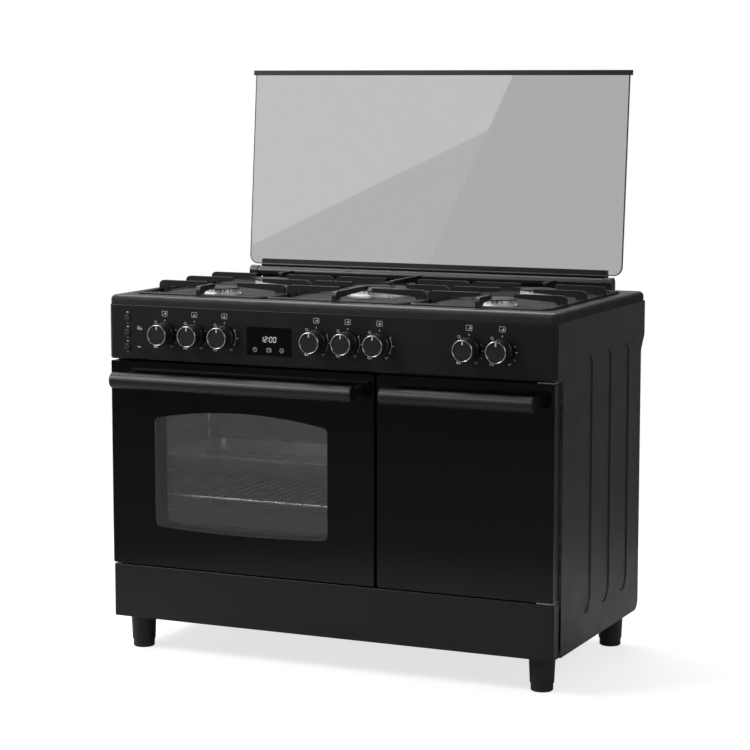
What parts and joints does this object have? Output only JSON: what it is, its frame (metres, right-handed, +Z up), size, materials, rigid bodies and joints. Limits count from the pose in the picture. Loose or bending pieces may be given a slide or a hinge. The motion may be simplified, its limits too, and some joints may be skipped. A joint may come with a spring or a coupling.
{
  "type": "freestanding gas cooker",
  "caption": "Wide freestanding gas cooker: hob with wok burner and cast pan supports, gas oven behind a drop-down glass door, cylinder cabinet and hinged glass lid.",
  "frame": {"origin": "on the floor under the middle of the part's bounding box", "axes": "+X to the right seen from the front, +Y to the back, +Z up"},
  "size_m": [1.1, 0.7102, 1.3513],
  "materials": {
    "black_enamel": "satin black enamelled steel sheet",
    "galvanised_sheet": "plain zinc-coated sheet",
    "oven_enamel": "glossy dark grey oven enamel",
    "black_glass": "toughened glass printed black on the back",
    "clear_glass": "clear heat-resisting glass",
    "lid_glass": "grey tinted toughened glass",
    "black_metal": "satin black powder coat",
    "cast_iron": "matt black enamelled cast iron",
    "aluminium": "turned bright aluminium",
    "chrome_wire": "bright chromed wire",
    "bright_steel": "bright steel",
    "brass": "plain brass",
    "ceramic": "white glazed ceramic",
    "seal_rubber": "black silicone seal",
    "black_plastic": "satin black moulded plastic"
  },
  "bodies": {
    "chassis": {"side_panel_left": "black_enamel", "side_panel_right": "black_enamel", "back_panel": "galvanised_sheet", "base_tray": "galvanised_sheet", "hob_top": "black_enamel", "control_panel": "black_enamel", "plinth": "black_enamel", "oven_cavity": "oven_enamel", "door_seal": "seal_rubber", "oven_floor_plate": "oven_enamel", "oven_burners": "bright_steel", "shelf_ladders": "chrome_wire", "wire_shelf": "chrome_wire", "baking_tray": "oven_enamel", "cabinet_liner": "galvanised_sheet", "burner_cups": "aluminium", "burner_heads": "aluminium", "burner_caps": "cast_iron", "spark_electrodes": "ceramic", "gas_manifold": "brass", "timer_display": "black_glass", "door_hinges": "bright_steel", "lid_hinge_brackets": "black_enamel", "foot_sleeves": "black_plastic"},
    "oven_door": {"oven_door_glass": "black_glass", "oven_door_frame": "galvanised_sheet", "oven_door_inner_glass": "clear_glass", "oven_door_handle": "black_metal"},
    "cabinet_door": {"cabinet_door_glass": "black_glass", "cabinet_door_frame": "galvanised_sheet", "cabinet_door_handle": "black_metal"},
    "lid": {"lid_glass": "lid_glass", "lid_trim": "black_metal", "lid_hinge_rail": "black_metal"},
    "support_left": {"pan_support_left": "cast_iron"},
    "support_middle": {"pan_support_middle": "cast_iron"},
    "support_right": {"pan_support_right": "cast_iron"},
    "spindle_1": {"tap_spindle_1": "bright_steel"},
    "knob_1": {"knob_1": "black_plastic"},
    "spindle_2": {"tap_spindle_2": "bright_steel"},
    "knob_2": {"knob_2": "black_plastic"},
    "spindle_3": {"tap_spindle_3": "bright_steel"},
    "knob_3": {"knob_3": "black_plastic"},
    "spindle_4": {"tap_spindle_4": "bright_steel"},
    "knob_4": {"knob_4": "black_plastic"},
    "spindle_5": {"tap_spindle_5": "bright_steel"},
    "knob_5": {"knob_5": "black_plastic"},
    "spindle_6": {"tap_spindle_6": "bright_steel"},
    "knob_6": {"knob_6": "black_plastic"},
    "spindle_7": {"tap_spindle_7": "bright_steel"},
    "knob_7": {"knob_7": "black_plastic"},
    "spindle_8": {"tap_spindle_8": "bright_steel"},
    "knob_8": {"knob_8": "black_plastic"},
    "button_1": {"push_button_1": "black_plastic"},
    "button_2": {"push_button_2": "black_plastic"},
    "button_3": {"push_button_3": "black_plastic"},
    "foot_1": {"foot_adjuster_1": "black_plastic"},
    "foot_2": {"foot_adjuster_2": "black_plastic"},
    "foot_3": {"foot_adjuster_3": "black_plastic"},
    "foot_4": {"foot_adjuster_4": "black_plastic"}
  },
  "joints": [
    {"name": "oven_door_hinge", "type": "hinge", "parent": "chassis", "child": "oven_door", "pos_m": [-0.212, -0.28156, 0.226], "axis": [1, 0, 0], "range_deg": [0, 90]},
    {"name": "cabinet_door_hinge", "type": "hinge", "parent": "chassis", "child": "cabinet_door", "pos_m": [0.536, -0.28156, 0.208], "axis": [0, 0, 1], "range_deg": [0, 100]},
    {"name": "lid_hinge", "type": "hinge", "parent": "chassis", "child": "lid", "pos_m": [0, 0.28844, 0.8515], "axis": [-1, 0, 0], "range_deg": [-95, 0]},
    {"name": "support_left_lift", "type": "slide", "parent": "chassis", "child": "support_left", "axis": [0, 0, 1], "range_m": [0, 0.12]},
    {"name": "support_middle_lift", "type": "slide", "parent": "chassis", "child": "support_middle", "axis": [0, 0, 1], "range_m": [0, 0.12]},
    {"name": "support_right_lift", "type": "slide", "parent": "chassis", "child": "support_right", "axis": [0, 0, 1], "range_m": [0, 0.12]},
    {"name": "tap_1_turn", "type": "hinge", "parent": "chassis", "child": "spindle_1", "pos_m": [-0.403, -0.29156, 0.751], "axis": [0, -1, 0], "range_deg": [0, 210]},
    {"name": "knob_1_push", "type": "slide", "parent": "spindle_1", "child": "knob_1", "axis": [0, 1, 0], "range_m": [0, 0.004], "stiffness_N_per_m": 1500},
    {"name": "tap_2_turn", "type": "hinge", "parent": "chassis", "child": "spindle_2", "pos_m": [-0.326, -0.29156, 0.751], "axis": [0, -1, 0], "range_deg": [0, 210]},
    {"name": "knob_2_push", "type": "slide", "parent": "spindle_2", "child": "knob_2", "axis": [0, 1, 0], "range_m": [0, 0.004], "stiffness_N_per_m": 1500},
    {"name": "tap_3_turn", "type": "hinge", "parent": "chassis", "child": "spindle_3", "pos_m": [-0.249, -0.29156, 0.751], "axis": [0, -1, 0], "range_deg": [0, 210]},
    {"name": "knob_3_push", "type": "slide", "parent": "spindle_3", "child": "knob_3", "axis": [0, 1, 0], "range_m": [0, 0.004], "stiffness_N_per_m": 1500},
    {"name": "tap_4_turn", "type": "hinge", "parent": "chassis", "child": "spindle_4", "pos_m": [-0.018, -0.29156, 0.751], "axis": [0, -1, 0], "range_deg": [0, 210]},
    {"name": "knob_4_push", "type": "slide", "parent": "spindle_4", "child": "knob_4", "axis": [0, 1, 0], "range_m": [0, 0.004], "stiffness_N_per_m": 1500},
    {"name": "tap_5_turn", "type": "hinge", "parent": "chassis", "child": "spindle_5", "pos_m": [0.059, -0.29156, 0.751], "axis": [0, -1, 0], "range_deg": [0, 210]},
    {"name": "knob_5_push", "type": "slide", "parent": "spindle_5", "child": "knob_5", "axis": [0, 1, 0], "range_m": [0, 0.004], "stiffness_N_per_m": 1500},
    {"name": "tap_6_turn", "type": "hinge", "parent": "chassis", "child": "spindle_6", "pos_m": [0.136, -0.29156, 0.751], "axis": [0, -1, 0], "range_deg": [0, 210]},
    {"name": "knob_6_push", "type": "slide", "parent": "spindle_6", "child": "knob_6", "axis": [0, 1, 0], "range_m": [0, 0.004], "stiffness_N_per_m": 1500},
    {"name": "tap_7_turn", "type": "hinge", "parent": "chassis", "child": "spindle_7", "pos_m": [0.348, -0.29156, 0.751], "axis": [0, -1, 0], "range_deg": [0, 210]},
    {"name": "knob_7_push", "type": "slide", "parent": "spindle_7", "child": "knob_7", "axis": [0, 1, 0], "range_m": [0, 0.004], "stiffness_N_per_m": 1500},
    {"name": "tap_8_turn", "type": "hinge", "parent": "chassis", "child": "spindle_8", "pos_m": [0.425, -0.29156, 0.751], "axis": [0, -1, 0], "range_deg": [0, 210]},
    {"name": "knob_8_push", "type": "slide", "parent": "spindle_8", "child": "knob_8", "axis": [0, 1, 0], "range_m": [0, 0.004], "stiffness_N_per_m": 1500},
    {"name": "button_1_press", "type": "slide", "parent": "chassis", "child": "button_1", "axis": [0, 1, 0], "range_m": [0, 0.0025], "stiffness_N_per_m": 800},
    {"name": "button_2_press", "type": "slide", "parent": "chassis", "child": "button_2", "axis": [0, 1, 0], "range_m": [0, 0.0025], "stiffness_N_per_m": 800},
    {"name": "button_3_press", "type": "slide", "parent": "chassis", "child": "button_3", "axis": [0, 1, 0], "range_m": [0, 0.0025], "stiffness_N_per_m": 800},
    {"name": "foot_1_height", "type": "slide", "parent": "chassis", "child": "foot_1", "axis": [0, 0, -1], "range_m": [0, 0.02]},
    {"name": "foot_2_height", "type": "slide", "parent": "chassis", "child": "foot_2", "axis": [0, 0, -1], "range_m": [0, 0.02]},
    {"name": "foot_3_height", "type": "slide", "parent": "chassis", "child": "foot_3", "axis": [0, 0, -1], "range_m": [0, 0.02]},
    {"name": "foot_4_height", "type": "slide", "parent": "chassis", "child": "foot_4", "axis": [0, 0, -1], "range_m": [0, 0.02]}
  ]
}
